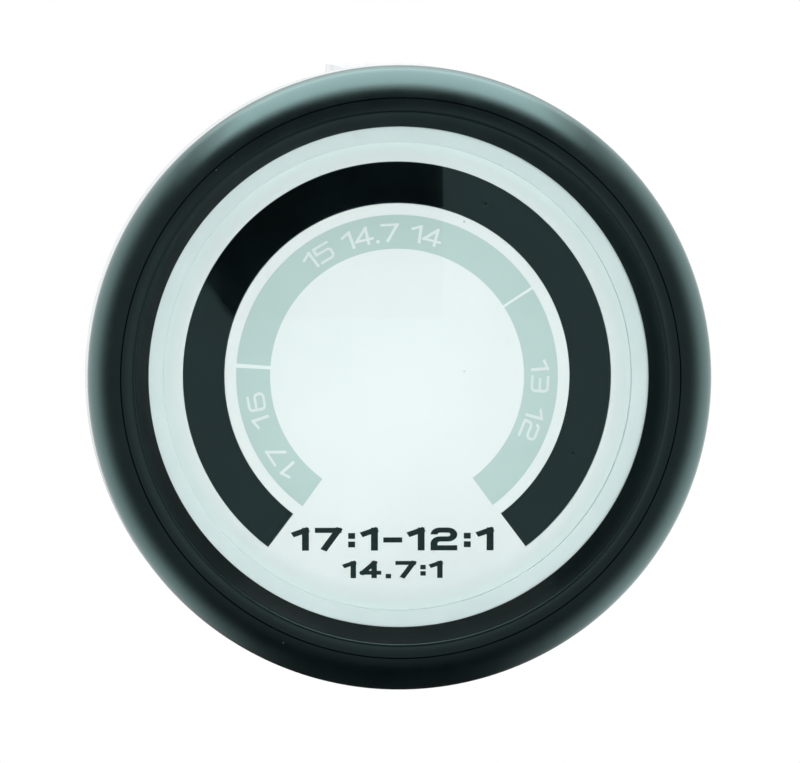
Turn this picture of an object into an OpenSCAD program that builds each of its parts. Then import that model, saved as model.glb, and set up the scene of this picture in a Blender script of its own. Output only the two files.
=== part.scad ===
// Air fuel ratio gauge with an arc of LEDs, for a round hole in a dashboard panel.
// Each piece is drawn as the driver sees it: x to the right, y up, z towards the driver, with
// z = 0 at the panel's front face. upright() then stands the piece so that the driver looks
// along +Y and the barrel runs into the dashboard.

/* [Bezel] */
// Reach of the bezel past the barrel, all round
bezel_reach = 2.6; // [2.2:0.1:4]
// Rise of the bezel's crest above the panel
bezel_rise = 9.6; // [9:0.1:11]
// Reach of the bezel's lip over the lens
lip_reach = 2.3; // [1.9:0.1:3]
// Thickness of the bezel's metal
bezel_sheet = 1.1; // [0.8:0.1:1.3]
// Radius of the bezel's rolled crest
crest_r = 2.4; // [2:0.1:2.6]
// Sweep of the crest's arc, from the outer side over to the inner slope
crest_sweep = 145; // [135:1:155]
// Drop from the crest to the front edge of the lip
lip_drop = 3.6; // [3:0.1:4]
// Thickness of the lip over the gasket
lip_t = 0.6; // [0.4:0.1:1]
// Width of the lip's flat underside
lip_land = 1.3; // [0.9:0.1:1.6]
// Rounding of the bezel's rear corner
bezel_corner_r = 0.4; // [0.2:0.1:0.8]

/* [Lens and dial] */
// Thickness of the gasket in front of the lens
gasket_t = 0.4; // [0.3:0.1:0.6]
// Thickness of the lens
lens_t = 1.6; // [1.2:0.1:2]
// Thickness of the ring between lens and dial
spacer_t = 1.2; // [0.8:0.1:1.6]
// Width of the spacer ring that shows inside the opening
spacer_show = 1.4; // [0.8:0.1:2]
// Thickness of the dial
dial_t = 0.8; // [0.6:0.1:1]

/* [Lit band] */
// Width of the band of LEDs
band_w = 3.75; // [3.2:0.05:4.2]
// Angle from the top of the dial to either end of the band
band_half_angle = 143; // [138:1:145]
// Width of the lip that holds the smoked window behind the dial
window_lip = 0.5; // [0.3:0.1:0.6]
// Thickness of that lip
window_lip_t = 1; // [0.6:0.1:1.4]
// Number of LEDs under the left zone
lean_count = 4; // [3:1:5]
// Number of LEDs under the top zone
stoich_count = 10; // [9:1:11]
// Number of LEDs under the right zone
rich_count = 6; // [5:1:7]
// Length of an LED along the band
led_l = 2.4; // [2:0.1:2.8]
// Width of an LED across the band
led_w = 2.8; // [2.4:0.1:3]
// Height of an LED's body
led_h = 0.8; // [0.6:0.1:1]
// Diameter of an LED's clear window
led_eye_d = 1.6; // [1.2:0.1:1.8]

/* [Light guide] */
// Thickness of the plate that spreads the lamp's light behind the dial
guide_t = 2; // [1.6:0.1:2.4]
// Height of the guide's rim above the display board
guide_rim_h = 2.2; // [2:0.1:3]
// Width of that rim
guide_rim_w = 1.2; // [1:0.1:1.4]
// Diameter of the pipe that takes light from the lamp
pipe_d = 5; // [4:0.1:5.8]
// Gap between the pipe and the back of the smoked window
pipe_inset = 0.35; // [0.35:0.05:1]
// Gap between the lamp and the pipe's end
pipe_gap = 0.9; // [0.6:0.1:1.4]

/* [Case] */
// Outside diameter of the barrel, for a 52.4 mm hole
barrel_d = 52; // [51:0.1:52.2]
// Depth of the barrel behind the panel
barrel_depth = 33; // [32:0.5:38]
// Thickness of the case's back
back_t = 1.6; // [1.2:0.1:2]
// Wall of the barrel around the dial
front_wall = 1.2; // [1:0.1:1.4]
// Wall of the barrel behind the display board
rear_wall = 2; // [1.7:0.1:2.2]
// Wall left around the lens
lens_wall = 0.5; // [0.3:0.1:0.7]
// Step of the neck above the barrel, inside the bezel
neck_step = 0.5; // [0.4:0.1:0.7]
// Thickness of the flange that the bezel is rolled behind
flange_t = 1; // [0.8:0.1:1.4]
// Rounding of the case's rear edge
back_corner_r = 2; // [1:0.1:3]
// Width of the key that stops the dial and the display board from turning
key_w = 1.6; // [1.2:0.1:2]
// Height of the key above the barrel's inner wall
key_h = 0.9; // [0.7:0.1:1]

/* [Boards] */
// Thickness of both circuit boards
board_t = 1.6; // [1.2:0.1:1.8]
// Space between the driver board and the case's back
rear_gap = 5.8; // [5.4:0.1:6.4]
// Number of pins that link the two boards
link_count = 7; // [6:1:7]
// Gap between the link pins and the wiring inlet's shell
link_gap = 0.68; // [0.4:0.02:1]
// Pitch of the pins
pin_pitch = 2.54; // [2.5:0.01:2.54]
// Side of a square pin
pin_w = 0.64; // [0.5:0.02:0.7]
// Length of a pin that stands out of its board
pin_tail = 0.8; // [0.6:0.1:1.2]
// Side of the link header's plastic bar
bar_w = 2.5; // [2.2:0.1:2.6]
// Length of a driver chip's body past its last leg
chip_end = 0.3; // [0.2:0.05:0.6]
// Width of a driver chip's body
chip_w = 3.9; // [3.6:0.1:4.2]
// Height of a driver chip
chip_h = 1.75; // [1.5:0.05:2]
// Length of a chip's leg
leg_l = 1.05; // [0.9:0.05:1.1]
// Width of a chip's leg
leg_w = 0.4; // [0.3:0.05:0.5]
// Number of legs on each side of a chip
leg_count = 8; // [6:1:8]
// Pitch of the legs
leg_pitch = 1.27; // [1.2:0.01:1.27]
// Gap between the driver chips and the link header's ends
chip_gap = 1.8; // [1:0.1:2]
// Side of the voltage regulator's body
regulator_w = 6.4; // [6:0.1:6.8]
// Height of the regulator
regulator_h = 2.3; // [2:0.1:2.6]
// Gap between the larger parts and the driver board's edge
edge_gap = 1.2; // [1:0.1:1.5]
// Diameter of the smoothing capacitor
capacitor_d = 8; // [7:0.1:8.4]
// Height of the smoothing capacitor
capacitor_h = 11.5; // [10:0.1:13]
// Place of the smoothing capacitor round the board, anticlockwise from 3 o'clock
capacitor_angle = 121; // [118:1:124]
// Place of the voltage regulator round the board
regulator_angle = 238; // [236:1:240]
// Number of small resistors
resistor_count = 4; // [3:1:5]
// Length of a resistor
resistor_l = 3.2; // [2.8:0.1:3.4]
// Width of a resistor
resistor_w = 1.6; // [1.2:0.1:1.8]
// Height of a resistor
resistor_h = 0.6; // [0.5:0.05:0.8]
// Distance between the resistors and the inlet's pins
resistor_offset = 5; // [4.5:0.1:5.4]

/* [Wiring inlet] */
// Number of ways in the inlet
header_count = 4; // [3:1:4]
// Width of the inlet's shell
header_w = 7; // [6.8:0.1:7.4]
// Room between the last pin's place and the shell's inner end
header_end = 0.42; // [0.3:0.02:0.6]
// Wall of the shell
header_wall = 1; // [0.8:0.1:1.2]
// Height of the shell's floor
header_floor = 2; // [1.6:0.1:2.4]
// Reach of the shell behind the case
header_reach = 5.4; // [5:0.1:6.4]
// Space between the pins' tips and the shell's mouth
header_entry = 4.6; // [4.3:0.1:5]
// Width of the slot that keys the plug
slot_w = 2; // [1.6:0.1:2.4]

/* [Studs] */
// Diameter of the studs, M4
stud_d = 4; // [3.6:0.1:4.2]
// Gap between a stud's head and the back of the smoked window
head_gap = 0.85; // [0.6:0.05:1.2]
// Reach of the studs behind the case
stud_reach = 24; // [22:0.5:30]
// Diameter of a stud's head
stud_head_d = 7; // [6.4:0.1:7.4]
// Height of a stud's head
stud_head_h = 1.6; // [1.2:0.1:1.8]
// Outside diameter of the spacer tubes
tube_d = 6; // [5.6:0.1:6.6]
// Width of a hex nut across its flats
nut_flats = 7; // [6.6:0.1:7.4]
// Height of a clamp nut
nut_h = 3.2; // [2.8:0.1:3.6]
// Height of a jam nut
jam_h = 2.4; // [2:0.1:2.8]
// Diameter of a lock washer
washer_d = 7.4; // [7:0.1:8]
// Thickness of a lock washer
washer_t = 0.9; // [0.7:0.1:1.1]
// Width of the split in a lock washer
split_w = 0.6; // [0.4:0.1:0.8]

/* [Bracket] */
// Width of the bracket's strip
bracket_w = 9; // [8:0.1:9.4]
// Thickness of the strip
bracket_t = 1.2; // [1:0.1:1.5]
// Thickness of the panel that the bracket clamps at rest
panel_t = 2.5; // [2.2:0.1:4]
// Gap between a leg and the barrel
leg_gap = 0.95; // [0.85:0.05:1.1]
// Gap between the case's back and the bracket's bar at rest
bar_gap = 7.8; // [7:0.1:9]
// Inside radius of the bracket's bends
bend_r = 1.2; // [0.8:0.1:1.6]

/* [Dial lamp] */
// Diameter of the lamp's glass
glass_d = 9.8; // [9:0.1:10]
// Distance from the panel's front face to the tip of the lamp
lamp_tip = 6.1; // [6:0.1:7]
// Width of the lamp's wedge base
base_w = 9; // [8.4:0.1:9.2]
// Thickness of the wedge base
base_t = 2.6; // [2.2:0.1:3]
// Depth of the wedge base in its holder
base_depth = 5.8; // [5:0.1:6]
// Length of the lamp's drawn-in neck
lamp_neck = 3; // [2.4:0.1:3.4]
// Diameter of the holder's barrel
holder_d = 11.84; // [11.6:0.02:12]
// Thickness of the floor in the holder's socket
holder_floor = 1; // [0.8:0.1:1.4]
// Diameter of the holder's flange
holder_flange_d = 15.2; // [15:0.1:15.4]
// Thickness of the holder's flange
holder_flange_t = 1.8; // [1.4:0.1:2.2]
// Thickness of the rubber seal under the flange
seal_t = 0.6; // [0.4:0.1:0.8]
// Reach of the locking lugs past the holder's barrel
lug_reach = 1.2; // [1:0.1:1.3]
// Width of a locking lug
lug_w = 3; // [2.6:0.1:3.2]
// Thickness of a locking lug
lug_t = 1.1; // [0.8:0.1:1.4]
// Turn that brings the lugs to their notches
lug_turn = 45; // [40:1:60]
// Length of the holder's finger grip
grip_l = 10; // [9:0.1:10.4]
// Thickness of the grip
grip_t = 3.2; // [2.8:0.1:3.6]
// Height of the grip
grip_h = 6; // [5:0.1:7]
// Diameter of the two inlets for the lamp's leads
inlet_d = 1.8; // [1.4:0.1:2]

/* [Clearances] */
// Gap around a piece that is laid in place
loose_gap = 0.3; // [0.2:0.05:0.35]
// Gap around a piece that is held snugly
snug_gap = 0.1; // [0.05:0.05:0.15]
// Radial gap between a stud and a clamp nut
thread_gap = 0.05; // [0.02:0.01:0.09]
// Radial gap between the lamp holder and its hole
turn_gap = 0.08; // [0.04:0.01:0.1]

/* [Hidden] */
$fn = 96;
overrun = 0.5;
// Middle of the band, as a share of the opening's radius
band_mid_share = 0.774;
// Distance of the wiring inlet from the centre, as a share of the rear bore's radius
header_share = 13 / 24;
// Width of the regulator's metal tab, as a share of its body
tab_share = 0.8;
// Reach of the regulator's far corner from its centre, as a share of its body
corner_share = 0.85;

// Depths of the stack, from the lip back to the case's back
lip_front_z = bezel_rise - lip_drop;
lip_back_z = lip_front_z - lip_t;
lens_front_z = lip_back_z - gasket_t;
lens_back_z = lens_front_z - lens_t;
dial_front_z = lens_back_z - spacer_t;
dial_back_z = dial_front_z - dial_t;
guide_back_z = dial_back_z - guide_t;
display_front_z = guide_back_z - guide_rim_h;
display_back_z = display_front_z - board_t;
case_back_z = -barrel_depth;
floor_z = case_back_z + back_t;
driver_back_z = floor_z + rear_gap;
driver_front_z = driver_back_z + board_t;
window_back_z = dial_back_z - window_lip_t;

// Radii from the barrel outwards
barrel_r = barrel_d / 2;
neck_r = barrel_r + neck_step;
curl_r = neck_r + snug_gap;
bezel_r = barrel_r + bezel_reach;
hollow_r = bezel_r - bezel_sheet;
flange_r = hollow_r - snug_gap;
collar_r = hollow_r - loose_gap;

// Radii from the barrel inwards
pocket_r = barrel_r - lens_wall;
lens_r = pocket_r - loose_gap;
opening_r = lens_r - lip_reach;
front_bore_r = barrel_r - front_wall;
dial_r = front_bore_r - loose_gap / 2;
rear_bore_r = barrel_r - rear_wall;
driver_board_r = rear_bore_r - loose_gap;
spacer_r = opening_r - spacer_show;
key_r = front_bore_r - key_h;

// The band of LEDs
band_mid_r = opening_r * band_mid_share;
band_outer_r = band_mid_r + band_w / 2;
band_inner_r = band_mid_r - band_w / 2;
window_outer_r = band_outer_r + window_lip;
window_inner_r = band_inner_r - window_lip;
window_half_angle = band_half_angle + asin(window_lip / band_mid_r);
slot_half_angle = window_half_angle + asin(loose_gap / band_mid_r);
fit_half_angle = band_half_angle - asin(snug_gap / band_mid_r);
led_count = lean_count + stoich_count + rich_count;
led_step = 2 * band_half_angle / led_count;

// Bracket, studs and nuts
stud_r = stud_d / 2;
stud_hole_r = stud_r + snug_gap;
stud_y = window_inner_r - head_gap - stud_head_d / 2;
stud_tip_z = case_back_z - stud_reach;
leg_in = barrel_r + leg_gap;
leg_out = leg_in + bracket_t;
bar_front_z = case_back_z - bar_gap;
bar_back_z = bar_front_z - bracket_t;
washer_back_z = bar_back_z - washer_t;
nut_back_z = washer_back_z - nut_h;
nut_bevel = nut_flats / 12;

// Lamp and holder
lamp_x = window_inner_r - pipe_inset - pipe_d / 2;
holder_r = holder_d / 2;
lamp_hole_r = holder_r + turn_gap;
lug_r = holder_r + lug_reach;
notch_r = lug_r + loose_gap;
flange_front_z = case_back_z - seal_t;
flange_back_z = flange_front_z - holder_flange_t;
grip_back_z = flange_back_z - grip_h;
socket_back_z = flange_front_z + holder_floor;
holder_front_z = socket_back_z + base_depth;
glass_r = glass_d / 2;
lamp_tip_z = -lamp_tip;
glass_back_z = holder_front_z + lamp_neck;

// Pins and chips
pin_hole_r = pin_w * sqrt(2) / 2 + snug_gap;
header_back_z = case_back_z - header_reach;
header_pin_back_z = header_back_z + header_entry;
header_l = header_count * pin_pitch + 2 * (header_end + header_wall);
header_x = rear_bore_r * header_share;
link_x = header_x - header_w / 2 - link_gap - pin_w / 2;
link_l = link_count * pin_pitch;
resistor_x = header_x + resistor_offset;
chip_l = (leg_count - 1) * leg_pitch + leg_w + 2 * chip_end;
chip_half_w = chip_w / 2 + leg_l;
chip_y = link_l / 2 + chip_gap + chip_half_w;
chip_x = sqrt(pow(driver_board_r - loose_gap, 2) - pow(chip_y + chip_half_w, 2)) - chip_l / 2;
capacitor_place = place(driver_board_r - capacitor_d / 2 - edge_gap, capacitor_angle);
regulator_place = place(driver_board_r - regulator_w * corner_share - edge_gap, regulator_angle);

function place(r, angle) = r * [cos(angle), sin(angle)];

function arc(centre, r, from, to, steps = 8) =
    [for (i = [0:steps]) centre + place(r, from + (to - from) * i / steps)];

module upright() {
    rotate([90, 0, 0]) children();
}

module disc(r, back, front) {
    translate([0, 0, back]) cylinder(r = r, h = front - back);
}

module hole(r, back, front) {
    disc(r, back - overrun, front + overrun);
}

module ring(r_out, r_in, back, front) {
    difference() {
        disc(r_out, back, front);
        hole(r_in, back, front);
    }
}

// Part of a ring, centred on 12 o'clock
module arc_ring(r_out, r_in, back, front, half_angle) {
    rotate([0, 0, 90 - half_angle])
        rotate_extrude(angle = 2 * half_angle)
            translate([r_in, back]) square([r_out - r_in, front - back]);
}

module block(w, l, back, front) {
    translate([-w / 2, -l / 2, back]) cube([w, l, front - back]);
}

module at_studs() {
    for (y = [-stud_y, stud_y]) translate([0, y, 0]) children();
}

module at_lamp() {
    translate([-lamp_x, 0, 0]) children();
}

module pin_row(x, count) {
    for (i = [0:count - 1]) translate([x, (i - (count - 1) / 2) * pin_pitch, 0]) children();
}

// The slot at 6 o'clock that passes the case's key
module key_slot(back, front) {
    reach = barrel_r - key_r + snug_gap;
    translate([0, -key_r + snug_gap - reach / 2, 0])
        block(key_w + 2 * snug_gap, reach, back - overrun, front + overrun);
}

module hex_nut(back, front, bore_r) {
    corner_r = nut_flats / sqrt(3);
    difference() {
        intersection() {
            translate([0, 0, back]) cylinder(r = corner_r, h = front - back, $fn = 6);
            rotate_extrude() polygon([
                [0, back],
                [corner_r - nut_bevel, back],
                [corner_r, back + nut_bevel / 2],
                [corner_r, front],
                [0, front]
            ]);
        }
        hole(bore_r, back, front);
    }
}

// One metal ring: rolled edge behind the case's flange, outer side, crest, inner slope and lip
module bezel() {
    crest = [bezel_r - crest_r, bezel_rise - crest_r];
    corner = [bezel_r - bezel_corner_r, bezel_corner_r];
    color("#15191a") upright() rotate_extrude() polygon(concat(
        [[curl_r, 0]],
        arc(corner, bezel_corner_r, -90, 0, 4),
        arc(crest, crest_r, 0, crest_sweep, 16),
        [[opening_r, lip_front_z], [opening_r, lip_back_z], [opening_r + lip_land, lip_back_z]],
        arc(crest, crest_r - bezel_sheet, crest_sweep, 0, 8),
        [[hollow_r, bezel_sheet], [curl_r, bezel_sheet]]
    ));
}

module lens_gasket() {
    color("#202426") upright() ring(lens_r, opening_r + loose_gap, lens_front_z, lip_back_z);
}

module lens() {
    color("#e8f4f4", 0.3) upright() disc(lens_r, lens_back_z, lens_front_z);
}

module spacer_ring() {
    color("#e3eded") upright() ring(dial_r, spacer_r, dial_front_z, lens_back_z);
}

module dial_face() {
    color("#e6f2f0") upright() difference() {
        disc(dial_r, dial_back_z, dial_front_z);
        arc_ring(band_outer_r, band_inner_r, dial_back_z - overrun, dial_front_z + overrun,
            band_half_angle);
        key_slot(dial_back_z, dial_front_z);
    }
}

module led_window() {
    color("#212f30") upright() {
        arc_ring(band_outer_r - snug_gap, band_inner_r + snug_gap, window_back_z, dial_front_z,
            fit_half_angle);
        arc_ring(window_outer_r, window_inner_r, window_back_z, dial_back_z, window_half_angle);
    }
}

// The LEDs from number first on, each turned to its place on the band
module at_leds(first, count) {
    for (i = [first:first + count - 1])
        rotate([0, 0, 90 + band_half_angle - (i + 1 / 2) * led_step])
            translate([band_mid_r, 0, 0]) children();
}

module led_baffle() {
    color("#f0f0ec") upright() difference() {
        arc_ring(window_outer_r, window_inner_r, display_front_z, window_back_z,
            window_half_angle);
        at_leds(0, led_count)
            block(led_w + 2 * loose_gap, led_l + 2 * loose_gap,
                display_front_z - overrun, window_back_z + overrun);
    }
}

module light_guide() {
    color("#dfeeee", 0.7) upright() {
        difference() {
            union() {
                disc(dial_r, guide_back_z, dial_back_z);
                ring(dial_r, dial_r - guide_rim_w, display_front_z, guide_back_z);
            }
            arc_ring(window_outer_r + loose_gap, window_inner_r - loose_gap,
                guide_back_z - overrun, dial_back_z + overrun, slot_half_angle);
            key_slot(display_front_z, dial_back_z);
        }
        at_lamp() disc(pipe_d / 2, lamp_tip_z + pipe_gap, guide_back_z);
    }
}

module led() {
    block(led_w, led_l, display_front_z, display_front_z + led_h);
    disc(led_eye_d / 2, display_front_z + led_h, display_front_z + led_h + led_h / 4);
}

module leds_lean() {
    color("#d8b8b0") upright() at_leds(0, lean_count) led();
}

module leds_stoich() {
    color("#c4d8c0") upright() at_leds(lean_count, stoich_count) led();
}

module leds_rich() {
    color("#dcd4ac") upright() at_leds(lean_count + stoich_count, rich_count) led();
}

module display_board() {
    color("#1f5a35") upright() difference() {
        disc(dial_r, display_back_z, display_front_z);
        at_studs() hole(stud_hole_r, display_back_z, display_front_z);
        at_lamp() hole(pipe_d / 2 + loose_gap, display_back_z, display_front_z);
        pin_row(link_x, link_count) hole(pin_hole_r, display_back_z, display_front_z);
        key_slot(display_back_z, display_front_z);
    }
}

module driver_board() {
    color("#1f5a35") upright() difference() {
        disc(driver_board_r, driver_back_z, driver_front_z);
        at_studs() hole(stud_hole_r, driver_back_z, driver_front_z);
        at_lamp() hole(lamp_hole_r + loose_gap, driver_back_z, driver_front_z);
        pin_row(link_x, link_count) hole(pin_hole_r, driver_back_z, driver_front_z);
        pin_row(header_x, header_count) hole(pin_hole_r, driver_back_z, driver_front_z);
    }
}

module link_header() {
    color("#17191a") upright() difference() {
        translate([link_x, 0, 0])
            block(bar_w, link_l, driver_front_z, driver_front_z + bar_w);
        pin_row(link_x, link_count) hole(pin_hole_r, driver_front_z, driver_front_z + bar_w);
    }
}

module link_pins() {
    color("#cfae5c") upright() pin_row(link_x, link_count)
        block(pin_w, pin_w, driver_back_z - pin_tail, display_front_z + pin_tail);
}

// A chip lies along x, with a row of legs above and below it
module driver_chip(y) {
    foot_h = chip_h / 2;
    translate([chip_x, y, 0]) {
        block(chip_l, chip_w, driver_front_z + snug_gap, driver_front_z + chip_h);
        for (i = [0:leg_count - 1]) translate([(i - (leg_count - 1) / 2) * leg_pitch, 0, 0])
            block(leg_w, 2 * chip_half_w, driver_front_z, driver_front_z + foot_h);
    }
}

module driver_chip_upper() {
    color("#1a1c1d") upright() driver_chip(chip_y);
}

module driver_chip_lower() {
    color("#1a1c1d") upright() driver_chip(-chip_y);
}

module voltage_regulator() {
    tab_l = regulator_w / 3;
    color("#1b1d1e") upright() translate(regulator_place) {
        block(regulator_w, regulator_w, driver_front_z, driver_front_z + regulator_h);
        translate([0, regulator_w / 2, 0])
            block(regulator_w * tab_share, tab_l, driver_front_z, driver_front_z + regulator_h / 4);
        for (x = [-regulator_w / 3, regulator_w / 3]) translate([x, -regulator_w / 2, 0])
            block(2 * leg_w, tab_l, driver_front_z, driver_front_z + regulator_h / 4);
    }
}

// A can with a drawn-in groove above its base
module smoothing_capacitor() {
    r = capacitor_d / 2;
    groove = r / 10;
    color("#20343f") upright() translate(capacitor_place)
        translate([0, 0, driver_front_z]) rotate_extrude() polygon([
            [0, 0],
            [r, 0],
            [r, 3 * groove],
            [r - groove, 4 * groove],
            [r, 5 * groove],
            [r, capacitor_h - groove],
            [r - groove, capacitor_h],
            [0, capacitor_h]
        ]);
}

module resistors() {
    color("#2a2c2d") upright() for (i = [0:resistor_count - 1])
        translate([resistor_x, (i - (resistor_count - 1) / 2) * 2 * resistor_w, 0])
            block(resistor_l, resistor_w, driver_front_z, driver_front_z + resistor_h);
}

// A shrouded inlet: it stands on the driver board and comes out through the case's back
module header_shell() {
    cavity_back_z = driver_back_z - header_floor;
    color("#d9d5c6") upright() difference() {
        translate([header_x, 0, 0]) block(header_w, header_l, header_back_z, driver_back_z);
        translate([header_x, 0, 0])
            block(header_w - 2 * header_wall, header_l - 2 * header_wall,
                header_back_z - overrun, cavity_back_z);
        pin_row(header_x, header_count) hole(pin_hole_r, cavity_back_z, driver_back_z);
        translate([header_x + header_w / 2, 0, 0])
            block(2 * header_wall + overrun, slot_w, header_back_z - overrun, header_pin_back_z);
    }
}

module header_pins() {
    color("#cfae5c") upright() pin_row(header_x, header_count)
        block(pin_w, pin_w, header_pin_back_z, driver_front_z + pin_tail);
}

// A moulded cup: barrel, neck, flange and collar outside, pocket, bore, ledge and floor inside
module case() {
    corner = [barrel_r - back_corner_r, case_back_z + back_corner_r];
    key_front_z = dial_front_z;
    color("#1c1f20") upright() {
        difference() {
            rotate_extrude() polygon(concat(
                [[0, case_back_z]],
                arc(corner, back_corner_r, -90, 0, 6),
                [
                    [barrel_r, 0], [neck_r, 0], [neck_r, bezel_sheet],
                    [flange_r, bezel_sheet], [flange_r, bezel_sheet + flange_t],
                    [collar_r, bezel_sheet + flange_t], [collar_r, lens_front_z],
                    [pocket_r, lens_front_z], [pocket_r, lens_back_z],
                    [front_bore_r, lens_back_z], [front_bore_r, display_back_z],
                    [rear_bore_r, display_back_z], [rear_bore_r, floor_z], [0, floor_z]
                ]
            ));
            at_studs() hole(stud_hole_r, case_back_z, floor_z);
            at_lamp() {
                hole(lamp_hole_r, case_back_z, floor_z);
                rotate([0, 0, -lug_turn])
                    block(2 * notch_r, lug_w + 2 * loose_gap, case_back_z - overrun,
                        floor_z + overrun);
            }
            translate([header_x, 0, 0])
                block(header_w + 2 * loose_gap, header_l + 2 * loose_gap,
                    case_back_z - overrun, floor_z + overrun);
        }
        translate([0, -(key_r + barrel_r - front_wall / 2) / 2, 0])
            block(key_w, barrel_r - front_wall / 2 - key_r, display_back_z, key_front_z);
    }
}

module stud_screws() {
    color("#c9b26a") upright() at_studs() {
        disc(stud_r, stud_tip_z, display_front_z);
        disc(stud_head_d / 2, display_front_z, display_front_z + stud_head_h);
    }
}

module front_spacers() {
    color("#c6c9ca") upright() at_studs()
        ring(tube_d / 2, stud_hole_r, driver_front_z, display_back_z);
}

module rear_spacers() {
    color("#c6c9ca") upright() at_studs()
        ring(tube_d / 2, stud_hole_r, floor_z, driver_back_z);
}

module jam_nuts() {
    color("#c9b26a") upright() at_studs()
        hex_nut(case_back_z - jam_h, case_back_z, stud_r + thread_gap);
}

// Twist-lock holder: socket and lugs inside the case, flange and finger grip outside
module lamp_holder() {
    lug_back_z = floor_z + turn_gap;
    color("#22262a") upright() at_lamp() difference() {
        union() {
            disc(holder_r, flange_front_z, holder_front_z);
            block(2 * lug_r, lug_w, lug_back_z, lug_back_z + lug_t);
            disc(holder_flange_d / 2, flange_back_z, flange_front_z);
            block(grip_t, grip_l, grip_back_z, flange_back_z);
        }
        block(base_w + 2 * snug_gap, base_t + 2 * snug_gap, socket_back_z,
            holder_front_z + overrun);
        for (y = [-grip_l / 4, grip_l / 4]) translate([0, y, 0])
            disc(inlet_d / 2, grip_back_z - overrun, flange_back_z);
    }
}

module lamp_seal() {
    color("#141617") upright() at_lamp()
        ring(holder_flange_d / 2, holder_r + snug_gap, flange_front_z, case_back_z);
}

// Round glass, a drawn-in neck and a flat wedge base
module lamp() {
    color("#e4ecec", 0.5) upright() at_lamp() {
        rotate_extrude() polygon(concat(
            [[0, holder_front_z], [base_t, holder_front_z], [glass_r, glass_back_z]],
            arc([0, lamp_tip_z - glass_r], glass_r, 0, 90, 12)
        ));
        block(base_w, base_t, socket_back_z, holder_front_z + overrun);
    }
}

// A strip bent to a U: two legs that reach forward to the panel and a bar across the studs
module bracket() {
    tip_z = -panel_t;
    bend_out = bend_r + bracket_t;
    inner_bend = [leg_in - bend_r, bar_front_z + bend_r];
    half = concat(
        [[leg_in, tip_z], [leg_out, tip_z]],
        arc(inner_bend, bend_out, 0, -90, 6)
    );
    inner_half = arc(inner_bend, bend_r, -90, 0, 6);
    mirrored = [for (i = [len(half) - 1:-1:0]) [-half[i][0], half[i][1]]];
    inner_mirrored = [for (i = [len(inner_half) - 1:-1:0]) [-inner_half[i][0], inner_half[i][1]]];
    color("#c3c7c8") upright() difference() {
        translate([-bracket_w / 2, 0, 0]) rotate([90, 0, 90]) linear_extrude(bracket_w)
            polygon(concat(half, mirrored, inner_mirrored, inner_half));
        at_studs() hole(stud_r + loose_gap, bar_back_z, bar_front_z);
    }
}

module lock_washers() {
    color("#b9bdbe") upright() at_studs() difference() {
        ring(washer_d / 2, stud_hole_r, washer_back_z, bar_back_z);
        translate([washer_d / 4 + stud_hole_r / 2, 0, 0])
            block(washer_d, split_w, washer_back_z - overrun, bar_back_z + overrun);
    }
}

module clamp_nut(y) {
    translate([0, y, 0]) hex_nut(nut_back_z, washer_back_z, stud_r + thread_gap);
}

module upper_nut() {
    color("#c9b26a") upright() clamp_nut(stud_y);
}

module lower_nut() {
    color("#c9b26a") upright() clamp_nut(-stud_y);
}

bezel();
lens_gasket();
lens();
spacer_ring();
dial_face();
led_window();
led_baffle();
light_guide();
leds_lean();
leds_stoich();
leds_rich();
display_board();
driver_board();
link_header();
link_pins();
driver_chip_upper();
driver_chip_lower();
voltage_regulator();
smoothing_capacitor();
resistors();
header_shell();
header_pins();
case();
stud_screws();
front_spacers();
rear_spacers();
jam_nuts();
lamp_holder();
lamp_seal();
lamp();
bracket();
lock_washers();
upper_nut();
lower_nut();
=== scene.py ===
import math
import bpy
import bmesh
from mathutils import Matrix, Vector


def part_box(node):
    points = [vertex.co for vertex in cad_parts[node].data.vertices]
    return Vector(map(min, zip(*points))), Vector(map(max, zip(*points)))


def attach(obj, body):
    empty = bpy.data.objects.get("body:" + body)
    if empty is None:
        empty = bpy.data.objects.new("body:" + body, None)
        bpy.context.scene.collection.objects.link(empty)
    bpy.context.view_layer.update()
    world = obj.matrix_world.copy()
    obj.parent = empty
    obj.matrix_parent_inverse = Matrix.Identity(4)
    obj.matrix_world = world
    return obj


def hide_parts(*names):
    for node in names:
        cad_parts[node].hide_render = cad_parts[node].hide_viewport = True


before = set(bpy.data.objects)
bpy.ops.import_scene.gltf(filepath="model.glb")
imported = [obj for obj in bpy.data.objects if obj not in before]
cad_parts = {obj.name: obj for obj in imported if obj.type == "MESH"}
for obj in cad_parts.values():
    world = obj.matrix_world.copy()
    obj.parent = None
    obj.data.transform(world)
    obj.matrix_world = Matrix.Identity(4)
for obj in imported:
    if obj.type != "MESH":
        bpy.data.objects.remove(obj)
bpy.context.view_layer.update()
print("frame loaded")

mm = 0.001
gaugeBody = "gauge"


def nodeBox(node):
    low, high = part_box(node)
    return [value / mm for value in low], [value / mm for value in high]


def radiusOf(node):
    low, high = nodeBox(node)
    return (high[0] - low[0]) / 2


def depthsOf(node):
    low, high = nodeBox(node)
    return low[1], high[1]


# Shared effects, as node groups

def startGroup(name, inputs, outputs):
    group = bpy.data.node_groups.new(name, "ShaderNodeTree")
    for label, value in inputs.items():
        socket = group.interface.new_socket(label, in_out="INPUT", socket_type="NodeSocketFloat")
        socket.default_value = value
    for label in outputs:
        group.interface.new_socket(label, in_out="OUTPUT", socket_type="NodeSocketFloat")
    source = group.nodes.new("NodeGroupInput")
    target = group.nodes.new("NodeGroupOutput")
    return group, source, target


# Feeds an input from a socket, a colour or a plain number
def feed(tree, socket, value):
    if isinstance(value, bpy.types.NodeSocket):
        tree.links.new(value, socket)
    elif isinstance(value, tuple):
        socket.default_value = (*value, 1)
    else:
        socket.default_value = value


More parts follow.
